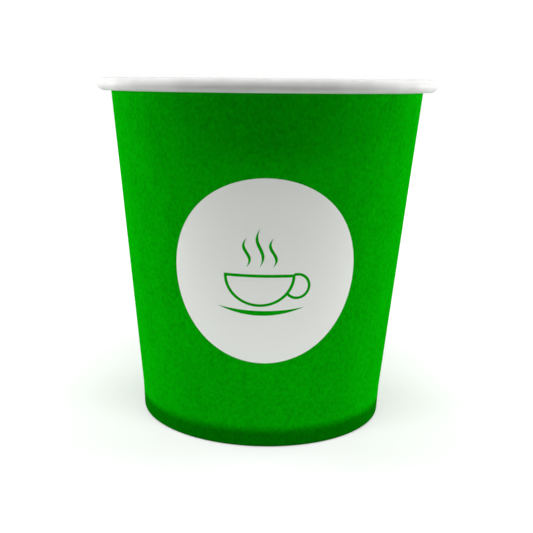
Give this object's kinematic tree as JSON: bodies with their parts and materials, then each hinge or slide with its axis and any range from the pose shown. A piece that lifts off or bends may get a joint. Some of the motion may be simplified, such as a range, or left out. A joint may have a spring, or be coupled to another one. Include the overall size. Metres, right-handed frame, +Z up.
{
  "type": "disposable cup",
  "caption": "Small single-wall board cup, tapered, with an outward rolled rim, a glued side seam and a recessed base disc gripped in a folded foot.",
  "frame": {"origin": "centre of the foot ring, on the plane that the cup stands on", "axes": "+Z up along the cup's axis, -Y towards the front of the print with its round field, +Y towards the side seam, +X to the right seen from the front"},
  "size_m": [0.062, 0.062, 0.063],
  "materials": {
    "printed_board": "satin print on coated board, white and unprinted inside and on the rolled rim",
    "plain_board": "satin coated white board"
  },
  "bodies": {
    "root": {"side_wall": "printed_board", "base_disc": "plain_board"}
  },
  "joints": []
}
